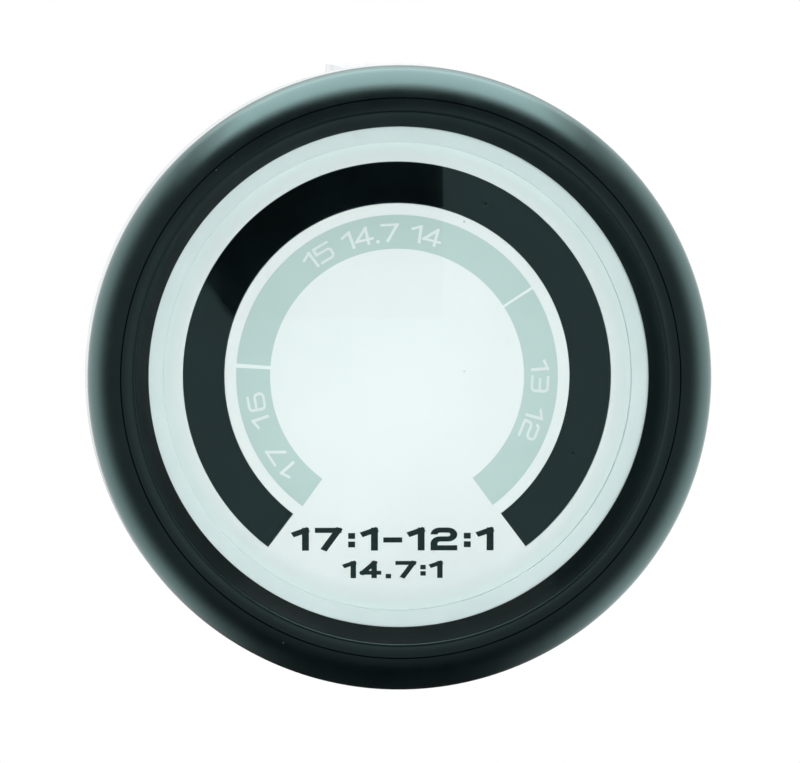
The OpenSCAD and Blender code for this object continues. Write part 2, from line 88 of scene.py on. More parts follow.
def mapNode(tree, value, low, high, toLow=0.0, toHigh=1.0, smooth=False):
    node = tree.nodes.new("ShaderNodeMapRange")
    node.interpolation_type = "SMOOTHSTEP" if smooth else "LINEAR"
    tree.links.new(value, node.inputs["Value"])
    for label, bound in zip(("From Min", "From Max", "To Min", "To Max"), (low, high, toLow, toHigh)):
        feed(tree, node.inputs[label], bound)
    return node.outputs["Result"]


def mathNode(tree, operation, first, second=0.0):
    node = tree.nodes.new("ShaderNodeMath")
    node.operation = operation
    feed(tree, node.inputs[0], first)
    feed(tree, node.inputs[1], second)
    return node.outputs["Value"]


# Distance in a plane: the root of two squares added
def flatLength(tree, first, second):
    square = mathNode(tree, "ADD", mathNode(tree, "MULTIPLY", first, first),
                      mathNode(tree, "MULTIPLY", second, second))
    return mathNode(tree, "SQRT", square)


def mixColour(tree, factor, first, second):
    node = tree.nodes.new("ShaderNodeMix")
    node.data_type = "RGBA"
    tree.links.new(factor, node.inputs["Factor"])
    for label, value in (("A", first), ("B", second)):
        feed(tree, next(s for s in node.inputs if s.name == label and s.type == "RGBA"), value)
    return next(s for s in node.outputs if s.type == "RGBA")


# The place on the object, turned, scaled or moved where a change is given
def objectPlace(tree, **change):
    place = tree.nodes.new("ShaderNodeTexCoord").outputs["Object"]
    if not change:
        return place
    mapping = tree.nodes.new("ShaderNodeMapping")
    for label, value in change.items():
        mapping.inputs[label.capitalize()].default_value = value
    tree.links.new(place, mapping.inputs["Vector"])
    return mapping.outputs["Vector"]


# Distance from the gauge's axis, and depth along it
def axisPlace(tree):
    parts = tree.nodes.new("ShaderNodeSeparateXYZ")
    tree.links.new(objectPlace(tree), parts.inputs["Vector"])
    across, depth, up = parts.outputs
    return flatLength(tree, across, up), depth


def objectNoise(tree, fineness, detail=3.0, **change):
    noise = tree.nodes.new("ShaderNodeTexNoise")
    noise.inputs["Detail"].default_value = detail
    tree.links.new(objectPlace(tree, **change), noise.inputs["Vector"])
    feed(tree, noise.inputs["Scale"], fineness)
    return noise.outputs["Fac"]


def makeBlotches():
    group, source, target = startGroup("softBlotches", {"Scale": 200, "Low": 0.35, "High": 0.65}, ["Mask"])
    noise = objectNoise(group, source.outputs["Scale"])
    mask = mapNode(group, noise, source.outputs["Low"], source.outputs["High"], smooth=True)
    group.links.new(mask, target.inputs["Mask"])
    return group


def makeDust():
    group, source, target = startGroup("dustSpecks", {"Scale": 700, "Size": 0.2, "Share": 0.2}, ["Mask"])
    cells = group.nodes.new("ShaderNodeTexVoronoi")
    group.links.new(objectPlace(group), cells.inputs["Vector"])
    group.links.new(source.outputs["Scale"], cells.inputs["Scale"])
    inner = mathNode(group, "MULTIPLY", source.outputs["Size"], 0.5)
    dot = mapNode(group, cells.outputs["Distance"], source.outputs["Size"], inner, smooth=True)
    lottery = group.nodes.new("ShaderNodeSeparateColor")
    group.links.new(cells.outputs["Color"], lottery.inputs["Color"])
    drawn = mathNode(group, "LESS_THAN", lottery.outputs["Red"], source.outputs["Share"])
    group.links.new(mathNode(group, "MULTIPLY", dot, drawn), target.inputs["Mask"])
    return group


def makeGrain():
    values = {"Scale": 4000, "Coarse": 900, "Share": 0.5}
    group, source, target = startGroup("mouldedGrain", values, ["Height"])
    fine = objectNoise(group, source.outputs["Scale"], 2.0)
    coarse = objectNoise(group, source.outputs["Coarse"], 2.0)
    swell = mathNode(group, "MULTIPLY", coarse, source.outputs["Share"])
    group.links.new(mathNode(group, "ADD", fine, swell), target.inputs["Height"])
    return group


def makeTurning():
    values = {"Pitch": 12000, "Waver": 300, "Sway": 6}
    group, source, target = startGroup("turnedRings", values, ["Height"])
    radius, depth = axisPlace(group)
    flat = mathNode(group, "ADD", mathNode(group, "MULTIPLY", radius, source.outputs["Pitch"]),
                    mathNode(group, "MULTIPLY", depth, source.outputs["Pitch"]))
    waver = mathNode(group, "MULTIPLY", objectNoise(group, source.outputs["Waver"]), source.outputs["Sway"])
    wave = mathNode(group, "SINE", mathNode(group, "ADD", flat, waver))
    group.links.new(wave, target.inputs["Height"])
    return group


# Painted light and shade: zero in the middle of the gauge, rising to one between two radii. It blends in a
# painted shade near the bezel on the dial and a painted highlight on the bezel's inner slope
def makePaintedRingShading():
    group, source, target = startGroup("rimFade", {"From": 0.019, "To": 0.021}, ["Mask"])
    radius = axisPlace(group)[0]
    mask = mapNode(group, radius, source.outputs["From"], source.outputs["To"], smooth=True)
    group.links.new(mask, target.inputs["Mask"])
    return group


blotches = makeBlotches()
dust = makeDust()
rimFade = makePaintedRingShading()
grain = makeGrain()
turning = makeTurning()


def useGroup(tree, group, **values):
    node = tree.nodes.new("ShaderNodeGroup")
    node.node_tree = group
    for label, value in values.items():
        node.inputs[label.capitalize()].default_value = value
    return node.outputs[0]


def startFinish(name):
    material = bpy.data.materials.new(name)
    material.use_nodes = True
    tree = material.node_tree
    shader = tree.nodes["Principled BSDF"]
    return material, tree, shader


def addBump(tree, shader, height, strength, depth):
    bump = tree.nodes.new("ShaderNodeBump")
    bump.inputs["Strength"].default_value = strength
    bump.inputs["Distance"].default_value = depth * mm
    tree.links.new(height, bump.inputs["Height"])
    tree.links.new(bump.outputs["Normal"], shader.inputs["Normal"])


# Roughness between a finish's two values by a mask, and more where dust lies
def setRoughness(tree, shader, mask, look, specks):
    rough = mapNode(tree, mask, 0, 1, *look["rough"])
    rough = mathNode(tree, "ADD", rough, mathNode(tree, "MULTIPLY", specks, look["dustRough"]))
    tree.links.new(rough, shader.inputs["Roughness"])


# Gives the shader a base colour with dust on it, and gives back where the dust is
def dustyColour(tree, shader, colour, look):
    specks = useGroup(tree, dust, scale=look["dustScale"], size=look["dustSize"], share=look["dustShare"])
    tree.links.new(mixColour(tree, specks, colour, look["dustColour"]), shader.inputs["Base Color"])
    return specks


def setGloss(shader, look):
    shader.inputs["IOR"].default_value = look["ior"]
    shader.inputs["Specular Tint"].default_value = (*look["gleam"], 1)


# What a moulded or painted finish has where it isn't given
mouldedUsual = {
    "patch": 180, "wear": 420, "wearLow": 0.3, "wearHigh": 0.75, "dustScale": 650, "dustSize": 0.16,
    "dustShare": 0.1, "dustColour": (0.3, 0.34, 0.33), "dustRough": 0.25, "ior": 1.5, "gleam": (1, 1, 1),
    "grain": 4000, "coarse": 900, "bump": 0.05, "depth": 0.02,
}


# Colour between two shades and another at the rim, where a ring of painted light and shade is given;
# roughness between two values, grain and dust
def mouldedFinish(name, given):
    look = {**mouldedUsual, **given}
    material, tree, shader = startFinish(name)
    patch = useGroup(tree, blotches, scale=look["patch"])
    colour = mixColour(tree, patch, look["dark"], look["light"])
    # The painted ring: a colour blended in between two radii, standing in for the shade and the light that
    # fall there
    if "rim" in look:
        paintedRingMask = useGroup(tree, rimFade, **{"from": look["rim"][0] * mm, "to": look["rim"][1] * mm})
        colour = mixColour(tree, paintedRingMask, colour, look["rimColour"])
    specks = dustyColour(tree, shader, colour, look)
    worn = useGroup(tree, blotches, scale=look["wear"], low=look["wearLow"], high=look["wearHigh"])
    setRoughness(tree, shader, worn, look, specks)
    setGloss(shader, look)
    pits = useGroup(tree, grain, scale=look["grain"], coarse=look["coarse"])
    addBump(tree, shader, pits, look["bump"], look["depth"])
    return material


metalUsual = {
    "patch": 350, "patchLow": 0.3, "patchHigh": 0.7, "edgeLow": 0.51, "edgeHigh": 0.56, "edgeMost": 0.6,
    "streak": 900, "streakDetail": 4.0, "streakLow": 0.3, "streakHigh": 0.7, "stretch": (1, 1, 0.06),
    "bump": 0.15, "depth": 0.01,
}


# Metal with turned or drawn marks, tarnish and bright rubbed edges
def metalFinish(name, given):
    look = {**metalUsual, **given}
    material, tree, shader = startFinish(name)
    patch = useGroup(tree, blotches, scale=look["patch"], low=look["patchLow"], high=look["patchHigh"])
    colour = mixColour(tree, patch, look["dark"], look["light"])
    edge = tree.nodes.new("ShaderNodeNewGeometry").outputs["Pointiness"]
    rubbed = mapNode(tree, edge, look["edgeLow"], look["edgeHigh"], 0, look["edgeMost"])
    colour = mixColour(tree, rubbed, colour, look["bright"])
    tree.links.new(colour, shader.inputs["Base Color"])
    streaks = objectNoise(tree, look["streak"], look["streakDetail"], scale=look["stretch"])
    rough = mapNode(tree, streaks, look["streakLow"], look["streakHigh"], *look["rough"])
    tree.links.new(rough, shader.inputs["Roughness"])
    shader.inputs["Metallic"].default_value = 1.0
    marks = useGroup(tree, turning, pitch=look["turned"]) if "turned" in look else streaks
    addBump(tree, shader, marks, look["bump"], look["depth"])
    return material


clearUsual = {
    "dustScale": 500, "dustSize": 0.12, "dustShare": 0.06, "dustColour": (0.7, 0.74, 0.73),
    "dustRough": 0.3, "haze": 120, "hazeLow": 0.4, "hazeHigh": 0.8, "ior": 1.49, "gleam": (1, 1, 1),
    "ripple": 60, "bump": 0.1, "depth": 0.005,
}


# Clear pieces, which let shadow rays through so that the dial behind stays lit
def clearFinish(name, given):
    look = {**clearUsual, **given}
    material, tree, shader = startFinish(name)
    specks = dustyColour(tree, shader, look["tint"], look)
    haze = useGroup(tree, blotches, scale=look["haze"], low=look["hazeLow"], high=look["hazeHigh"])
    setRoughness(tree, shader, haze, look, specks)
    shader.inputs["Transmission Weight"].default_value = 1.0
    setGloss(shader, look)
    addBump(tree, shader, objectNoise(tree, look["ripple"], 1.0), look["bump"], look["depth"])
    through = tree.nodes.new("ShaderNodeBsdfTransparent")
    through.inputs["Color"].default_value = (*look["shade"], 1)
    choose = tree.nodes.new("ShaderNodeMixShader")
    tree.links.new(tree.nodes.new("ShaderNodeLightPath").outputs["Is Shadow Ray"], choose.inputs["Fac"])
    tree.links.new(shader.outputs["BSDF"], choose.inputs[1])
    tree.links.new(through.outputs["BSDF"], choose.inputs[2])
    tree.links.new(choose.outputs["Shader"], tree.nodes["Material Output"].inputs["Surface"])
    return material


# Solder mask over copper tracks
def boardFinish(name, look):
    material, tree, shader = startFinish(name)
    tracks = tree.nodes.new("ShaderNodeTexBrick")
    tracks.inputs["Scale"].default_value = look["tracks"]
    tracks.inputs["Mortar Size"].default_value = look["gap"]
    tracks.inputs["Mortar Smooth"].default_value = look["gapSoft"]
    tracks.offset = look["stagger"]
    upright = objectPlace(tree, rotation=(math.radians(90), 0, 0))
    tree.links.new(upright, tracks.inputs["Vector"])
    copper = mixColour(tree, tracks.outputs["Fac"], look["mask"], look["overCopper"])
    patch = useGroup(tree, blotches, scale=look["patch"])
    colour = mixColour(tree, mathNode(tree, "MULTIPLY", patch, look["darkShare"]), copper, look["dark"])
    tree.links.new(colour, shader.inputs["Base Color"])
    tree.links.new(mapNode(tree, patch, 0, 1, *look["rough"]), shader.inputs["Roughness"])
    addBump(tree, shader, tracks.outputs["Fac"], look["bump"], look["depth"])
    return material


finishes = {
    "bezel": mouldedFinish("bezelBlack", {
        "dark": (0.0008, 0.0018, 0.002), "light": (0.0012, 0.0026, 0.0028), "rough": (0.21, 0.25),
        "ior": 2.2, "gleam": (0.63, 0.98, 0.965), "grain": 6000, "coarse": 1500, "bump": 0.08,
        "depth": 0.006, "dustShare": 0.04, "dustSize": 0.06, "dustColour": (0.03, 0.045, 0.045)}),
    "bezelInner": mouldedFinish("bezelInnerMatt", {
        "dark": (0.0013, 0.005, 0.0053), "light": (0.0016, 0.0056, 0.006), "rough": (0.29, 0.32),
        "ior": 1.08, "gleam": (0.6, 0.97, 1.0), "bump": 0.08, "depth": 0.006, "dustShare": 0.05,
        # Painted highlight: the inner slope lightens towards the ridge, standing in for its reflection of
        # the dial
        "rim": (23.45, 24.45), "rimColour": (0.011, 0.019, 0.0205),
        "dustSize": 0.07, "dustColour": (0.05, 0.07, 0.07)}),
    "rubber": mouldedFinish("sealRubber", {
        "dark": (0.012, 0.013, 0.013), "light": (0.022, 0.023, 0.023), "rough": (0.7, 0.9), "bump": 0.4}),
    "dial": mouldedFinish("dialWhite", {
        "dark": (0.79, 0.88, 0.87), "light": (0.82, 0.907, 0.897), "rough": (0.5, 0.62), "patch": 60,
        # Painted shade: the dial darkens towards the bezel's lip, where the lip's shade falls
        "rim": (19.0, 21.5), "rimColour": (0.65, 0.755, 0.745),
        "grain": 9000, "depth": 0.004, "dustShare": 0.02, "dustSize": 0.12,
        "dustColour": (0.55, 0.62, 0.61)}),
    "spacer": mouldedFinish("spacerWhite", {
        "dark": (0.708, 0.85, 0.842), "light": (0.736, 0.874, 0.866), "rough": (0.5, 0.62), "bump": 0.1,
        "dustShare": 0.02, "dustColour": (0.5, 0.56, 0.55)}),
    "zoneGrey": mouldedFinish("zoneGrey", {
        "dark": (0.475, 0.64, 0.615), "light": (0.5, 0.663, 0.64), "rough": (0.45, 0.55), "patch": 90,
        "depth": 0.004, "dustShare": 0.02, "dustColour": (0.7, 0.78, 0.77)}),
    "inkWhite": mouldedFinish("inkWhite", {
        "dark": (0.70, 0.80, 0.79), "light": (0.76, 0.86, 0.85), "rough": (0.45, 0.55),
        "depth": 0.003, "dustShare": 0.0}),
    "inkBlack": mouldedFinish("inkBlack", {
        "dark": (0.0006, 0.003, 0.003), "light": (0.001, 0.005, 0.005), "rough": (0.4, 0.55), "ior": 1.3,
        "gleam": (0.6, 0.97, 1.0), "bump": 0.08, "depth": 0.003, "dustShare": 0.02}),
    "smoked": mouldedFinish("smokedAcrylic", {
        "dark": (0.0002, 0.0004, 0.0005), "light": (0.001, 0.0022, 0.0024), "rough": (0.04, 0.07),
        "patch": 250, "gleam": (0.54, 0.97, 1.0), "bump": 0.03, "depth": 0.004,
        "dustShare": 0.06, "dustSize": 0.06, "dustColour": (0.03, 0.04, 0.04)}),
    "white": mouldedFinish("whitePlastic", {
        "dark": (0.76, 0.80, 0.79), "light": (0.82, 0.85, 0.84), "rough": (0.45, 0.6), "bump": 0.2}),
    "black": mouldedFinish("blackNylon", {
        "dark": (0.010, 0.011, 0.012), "light": (0.014, 0.015, 0.016), "rough": (0.44, 0.5), "bump": 0.45,
        "depth": 0.03, "grain": 3200, "coarse": 1100, "dustShare": 0.04, "dustSize": 0.1,
        "dustColour": (0.12, 0.13, 0.13)}),
    "chip": mouldedFinish("chipEpoxy", {
        "dark": (0.018, 0.018, 0.019), "light": (0.03, 0.03, 0.031), "rough": (0.55, 0.7), "bump": 0.3}),
    "natural": mouldedFinish("naturalNylon", {
        "dark": (0.60, 0.57, 0.48), "light": (0.70, 0.67, 0.58), "rough": (0.4, 0.52), "bump": 0.25,
        "dustColour": (0.4, 0.38, 0.33)}),
    "sleeve": mouldedFinish("capacitorSleeve", {
        "dark": (0.016, 0.035, 0.05), "light": (0.024, 0.05, 0.07), "rough": (0.22, 0.34), "bump": 0.1}),
    "ledRed": mouldedFinish("ledRedEpoxy", {
        "dark": (0.50, 0.28, 0.25), "light": (0.60, 0.35, 0.31), "rough": (0.15, 0.25)}),
    "ledGreen": mouldedFinish("ledGreenEpoxy", {
        "dark": (0.36, 0.52, 0.34), "light": (0.44, 0.62, 0.42), "rough": (0.15, 0.25)}),
    "ledAmber": mouldedFinish("ledAmberEpoxy", {
        "dark": (0.60, 0.50, 0.26), "light": (0.70, 0.60, 0.33), "rough": (0.15, 0.25)}),
    "board": boardFinish("solderMask", {
        "tracks": 420, "gap": 0.28, "gapSoft": 0.2, "stagger": 0.37, "mask": (0.012, 0.075, 0.028),
        "overCopper": (0.03, 0.14, 0.05), "dark": (0.008, 0.05, 0.02), "darkShare": 0.4, "patch": 260,
        "rough": (0.28, 0.42), "bump": 0.6, "depth": 0.03}),
    "gold": metalFinish("goldPins", {
        "dark": (0.58, 0.42, 0.18), "light": (0.72, 0.55, 0.25), "bright": (0.9, 0.74, 0.4),
        "rough": (0.22, 0.36)}),
    "yellowZinc": metalFinish("yellowZinc", {
        "dark": (0.21, 0.163, 0.078), "light": (0.31, 0.255, 0.135), "bright": (0.43, 0.385, 0.27),
        "rough": (0.28, 0.42), "patch": 240, "bump": 0.2, "depth": 0.012}),
    "zinc": metalFinish("brightZinc", {
        "dark": (0.19, 0.2, 0.21), "light": (0.26, 0.27, 0.28), "bright": (0.36, 0.37, 0.38),
        "rough": (0.28, 0.36), "patch": 90, "streak": 2600, "stretch": (1, 0.03, 0.03), "bump": 0.08}),
    "aluminium": metalFinish("turnedAluminium", {
        "dark": (0.45, 0.46, 0.47), "light": (0.54, 0.55, 0.56), "bright": (0.68, 0.68, 0.69),
        "rough": (0.25, 0.38), "turned": 30000}),
    "lens": clearFinish("lensAcrylic", {
        "tint": (0.985, 0.995, 0.995), "shade": (0.94, 0.95, 0.95), "rough": (0.0, 0.03),
        "gleam": (0.6, 0.98, 1.0)}),
    "guide": clearFinish("guideAcrylic", {
        "tint": (0.9, 0.96, 0.96), "shade": (0.8, 0.85, 0.85), "rough": (0.25, 0.45), "depth": 0.02}),
    "bulb": clearFinish("bulbGlass", {
        "tint": (0.97, 0.98, 0.98), "shade": (0.9, 0.92, 0.92), "rough": (0.0, 0.05), "ior": 1.51}),
}

print("finishes made")


# Tools for the pieces

samePlace = 1e-7  # metres, for points that meet


def addObject(name, data):
    thing = bpy.data.objects.new(name, data)
    bpy.context.scene.collection.objects.link(thing)
    return thing


def meshObject(bm, name):
    mesh = bpy.data.meshes.new(name)
    bm.to_mesh(mesh)
    bm.free()
    return addObject(name, mesh)


# Adds the faces of a second bmesh, which is used up
def addFaces(bm, other):
    mesh = bpy.data.meshes.new("added")
    other.to_mesh(mesh)
    other.free()
    bm.from_mesh(mesh)
    bpy.data.meshes.remove(mesh)


def edgesOver(bm, angle):
    limit = math.radians(angle)
    return [edge for edge in bm.edges if len(edge.link_faces) == 2 and edge.calc_face_angle(0) > limit]


def vertsOf(made):
    return [item for item in made["geom"] if isinstance(item, bmesh.types.BMVert)]


# Thickens flat faces by a copy moved along a vector, and turns all faces outwards
def thicken(bm, move):
    made = bmesh.ops.extrude_face_region(bm, geom=bm.faces[:])
    bmesh.ops.translate(bm, verts=vertsOf(made), vec=move)
    bmesh.ops.recalc_face_normals(bm, faces=bm.faces)


# A smooth object of one finish, on its body, in place of the nodes that it shows
def finishPiece(bm, name, finish, nodes, body=gaugeBody, weigh=True, sharpAngle=40):
    bmesh.ops.remove_doubles(bm, verts=bm.verts, dist=samePlace)
    for face in bm.faces:
        face.smooth = True
    for edge in edgesOver(bm, sharpAngle):
        edge.smooth = False
    piece = meshObject(bm, name)
    piece.data.materials.append(finishes[finish])
    if weigh:
        weighted = piece.modifiers.new("faceNormals", "WEIGHTED_NORMAL")
        weighted.keep_sharp = True
    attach(piece, body)
    if nodes:
        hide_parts(*nodes)
    return piece


def arcPoints(centre, radius, start, end, steps):
    points = []
    for step in range(steps + 1):
        angle = math.radians(start + (end - start) * step / steps)
        points.append((centre[0] + radius[0] * math.cos(angle), centre[1] - radius[1] * math.sin(angle)))
    return points


# Section of a ring with rounded corners, or of a disc where there is no hole
def ringSection(hole, outer, front, back, edge, steps):
    corners = [(outer - edge, back - edge), (outer - edge, front + edge)]
    if hole:
        corners += [(hole + edge, front + edge), (hole + edge, back - edge)]
    points = []
    for turn, corner in enumerate(corners):
        points += arcPoints(corner, (edge, edge), turn * 90 - 90, turn * 90, steps)
    return points if hole else [(0, back), *points, (0, front)]


# Points in millimetres joined by edges
def drawLine(bm, points, closed=False):
    verts = [bm.verts.new([value * mm for value in point]) for point in points]
    ends = verts[1:] + verts[:1] if closed else verts[1:]
    return verts, [bm.edges.new(pair) for pair in zip(verts, ends)]


# A full turn round an axis that runs along Y
def spinRound(bm, line, steps, up=0.0):
    bmesh.ops.spin(bm, geom=line[0] + line[1], cent=(0, 0, up * mm), axis=(0, 1, 0), angle=math.tau,
                   steps=steps, use_merge=True, use_duplicate=False)
    bmesh.ops.remove_doubles(bm, verts=bm.verts, dist=samePlace)


# A profile of radius and depth, spun round
def spinProfile(bm, profile, steps, up=0.0, closed=True):
    spinRound(bm, drawLine(bm, [(r, y, up) for r, y in profile], closed), steps, up)
    bmesh.ops.recalc_face_normals(bm, faces=bm.faces)


def bevelSharp(bm, offset, segments=3, angle=50):
    bmesh.ops.bevel(bm, geom=edgesOver(bm, angle), offset=offset * mm, offset_type="OFFSET",
                    segments=segments, profile=0.5, affect="EDGES", clamp_overlap=True, material=-1)


# Clockwise angle from 12 o'clock, as the driver sees it
def clockAngle(point):
    return math.degrees(math.atan2(point[0], point[2])) % 360


# A flat plate cut from rings of a round sheet: keep says which cells stay
def ringPlate(radii, stepsRound, front, back, keep):
    bm = bmesh.new()
    spinRound(bm, drawLine(bm, [(0, back, r) for r in radii]), stepsRound)
    gone = []
    for face in bm.faces:
        centre = face.calc_center_median()
        if not keep(math.hypot(centre.x, centre.z) / mm, clockAngle(centre)):
            gone.append(face)
    bmesh.ops.delete(bm, geom=gone, context="FACES")
    thicken(bm, (0, (front - back) * mm, 0))
    return bm


# What two shapes have in common
def commonShape(first, second):
    body = meshObject(first, "body")
    tool = meshObject(second, "tool")
    step = body.modifiers.new("common", "BOOLEAN")
    step.operation = "INTERSECT"
    step.solver = "EXACT"
    step.object = tool
    done = bpy.data.meshes.new_from_object(body.evaluated_get(bpy.context.evaluated_depsgraph_get()))
    bm = bmesh.new()
    bm.from_mesh(done)
    for thing in (body, tool):
        bpy.data.objects.remove(thing, do_unlink=True)
    bpy.data.meshes.remove(done)
    return bm


# Bezel: rolled black ring with a wide shoulder, a fine crease and a narrow ridge above the inner slope.
# Angles run round a bend in degrees, 0 outwards and 90 towards the driver
bezel = {
    "spare": 0.001,  # keeps the ring inside its solid's box
    "sheet": 1.1, "shoulderWide": 4.15, "shoulderDeep": 2.49, "creaseInset": 2.98,
    "creaseWide": 0.06, "creaseDeep": 0.15, "landDeep": 0.01, "ridgeInset": 3.98, "ridgeRound": 0.7,
    "ridgeFrom": 92, "ridgeTurn": 112, "edgeRound": 0.25, "edgeGap": 5, "slope": 152, "mattBelow": 24.34,
    "openingSpare": 0.04, "lipDeep": 0.6, "lipRound": 0.15, "lipLand": 1.3,
    "lipCurve": ((0.45, -0.9), (0.12, -0.35), (0.0, 0.2)), "rollRound": 2.4, "rollTurn": 145,
    "rearRound": 0.4, "curl": 26.6, "sharpAngle": 48, "steps": 240,
    "bendSteps": 6, "shoulderSteps": 48, "landSteps": 6, "ridgeSteps": 8, "rollSteps": 16,
}


def makeBezel():
    front, back = depthsOf("bezel")
    outer = radiusOf("bezel") - bezel["spare"]
    lipBack = depthsOf("lens_gasket")[0]
    lipFront = lipBack - bezel["lipDeep"]
    opening = openingRadius + bezel["openingSpare"]
    wide, deep = bezel["shoulderWide"], bezel["shoulderDeep"]
    centre = (outer - wide, front + deep)
    sheet, rear = bezel["sheet"], bezel["rearRound"]
    crease = outer - bezel["creaseInset"]
    creaseInner = crease - bezel["creaseWide"]
    ridge = outer - bezel["ridgeInset"]

    def crownDepth(radius):
        return centre[1] - deep * math.sqrt(1 - ((radius - centre[0]) / wide) ** 2)

    # From the curl at the back, over the shoulder to the crease
    profile = [(bezel["curl"], back)]
    profile += arcPoints((outer - rear, back - rear), (rear, rear), -90, 0, bezel["bendSteps"])
    bend = math.degrees(math.acos((crease + bezel["creaseWide"] - centre[0]) / wide))
    profile += arcPoints(centre, (wide, deep), 0, bend, bezel["shoulderSteps"])
    profile += [(crease, crownDepth(crease) + bezel["creaseDeep"])]
    steps = bezel["landSteps"]
    for step in range(steps):
        radius = creaseInner - (creaseInner - ridge) * step / steps
        profile.append((radius, crownDepth(max(radius, centre[0])) + bezel["landDeep"]))

    # Over the ridge with two bends, down the slope to the lip
    wideBend, tightBend, turn = bezel["ridgeRound"], bezel["edgeRound"], bezel["ridgeTurn"]
    middle = (ridge, crownDepth(max(ridge, centre[0])) + bezel["landDeep"] + wideBend)
    profile += arcPoints(middle, (wideBend, wideBend), bezel["ridgeFrom"], turn, bezel["ridgeSteps"])
    middle = arcPoints(middle, (wideBend - tightBend,) * 2, turn, turn, 1)[0]
    profile += arcPoints(middle, (tightBend, tightBend), turn + bezel["edgeGap"], bezel["slope"],
                         bezel["bendSteps"])
    lip = bezel["lipRound"]
    profile += [(opening + lip * inward, lipFront + lip * deeper) for inward, deeper in bezel["lipCurve"]]
    profile += [(opening, lipBack), (opening + bezel["lipLand"], lipBack)]

    # Back along the inside of the sheet
    roll = bezel["rollRound"]
    inside = roll - sheet
    profile += arcPoints((outer - roll, front + roll), (inside, inside), bezel["rollTurn"], 0,
                         bezel["rollSteps"])
    profile += [(outer - sheet, back - sheet), (bezel["curl"], back - sheet)]
    bm = bmesh.new()
    spinProfile(bm, profile, bezel["steps"])
    ring = finishPiece(bm, "bezelRing", "bezel", ["bezel"], sharpAngle=bezel["sharpAngle"])
    ring.data.materials.append(finishes["bezelInner"])
    for face in ring.data.polygons:
        if math.hypot(face.center.x, face.center.z) < bezel["mattBelow"] * mm:
            face.material_index = 1


gasketWide = 2.3
openingRadius = nodeBox("lens_gasket")[1][0] - gasketWide

# Round pieces behind the bezel; hole is a radius, and sink sets a front face back
roundPieces = {
    "lens_gasket": {"name": "lensGasket", "finish": "rubber", "hole": openingRadius + 0.3, "edge": 0.08,
                    "sink": 0},
    "lens": {"name": "frontLens", "finish": "lens", "hole": 0, "edge": 0.12, "sink": 0},
    "spacer_ring": {"name": "dialSpacer", "finish": "spacer", "hole": openingRadius - 1.4, "edge": 0.05,
                    "sink": 0.02},
}
roundSteps = 200
edgeSteps = 4


def makeRoundPieces():
    for node, piece in roundPieces.items():
        front, back = depthsOf(node)
        hole = piece["hole"]
        profile = ringSection(hole, radiusOf(node), front + piece["sink"], back, piece["edge"], edgeSteps)
        bm = bmesh.new()
        spinProfile(bm, profile, roundSteps, closed=bool(hole))
        finishPiece(bm, piece["name"], piece["finish"], [node])


makeBezel()
makeRoundPieces()
print("bezel and lens made")


# Dial, its window and what is printed on it
dialFront, dialBack = depthsOf("dial_face")
dial = {
    "bandOuter": 19.68, "bandInner": 15.86, "halfAngle": 143, "edge": 0.05,
    "keyInner": 23.8, "keyAngle": 2.3, "arcInner": 11.675, "arcOuter": 14.79, "ink": 0.02,
    "arcs": ((216.2, 273.1), (274.6, 416.4), (417.6, 503.3)),  # clock angles, past 360 on the right
    "steps": 360, "fineSteps": 720,
}


def nearTop(angle, spare=0.0):
    return min(angle, 360 - angle) < dial["halfAngle"] + spare


def dialKeeps(radius, angle):
    inBand = dial["bandInner"] < radius < dial["bandOuter"] and nearTop(angle)
    inKey = radius > dial["keyInner"] and abs(angle - 180) < dial["keyAngle"]
    return not (inBand or inKey)


def makeDial():
    radii = (0, dial["arcInner"], dial["bandInner"], dial["bandOuter"], dial["keyInner"],
             radiusOf("dial_face"))
    bm = ringPlate(radii, dial["steps"], dialFront, dialBack, dialKeeps)
    bevelSharp(bm, dial["edge"], 2)
    finishPiece(bm, "dialPlate", "dial", ["dial_face"])


# Window: a band that fills the cut-out, on a wider lip behind the dial
window = {
    "gap": 0.03, "edge": 0.12, "lipWide": 0.5, "lipEdge": 0.08,
    "bandSpare": -0.3, "lipSpare": 1.6,  # degrees past the ends of the cut-out
}


def makeWindow():
    front, back = depthsOf("led_window")
    radii = (dial["bandInner"] + window["gap"], dial["bandOuter"] - window["gap"])
    bm = ringPlate(radii, dial["fineSteps"], front, back,
                   lambda radius, angle: nearTop(angle, window["bandSpare"]))
    bevelSharp(bm, window["edge"])
    radii = (dial["bandInner"] - window["lipWide"], radiusOf("led_window"))
    lip = ringPlate(radii, dial["steps"], dialBack, back,
                    lambda radius, angle: nearTop(angle, window["lipSpare"]))
    bevelSharp(lip, window["lipEdge"], 2)
    addFaces(bm, lip)
    finishPiece(bm, "smokedWindow", "smoked", ["led_window"])


def arcKeeps(radius, angle):
    return any(start < turned < end for start, end in dial["arcs"] for turned in (angle, angle + 360))


def makeZoneArcs():
    radii = (dial["arcInner"], dial["arcOuter"])
    bm = ringPlate(radii, dial["fineSteps"], dialFront - dial["ink"], dialFront, arcKeeps)
    finishPiece(bm, "zoneArcs", "zoneGrey", [])


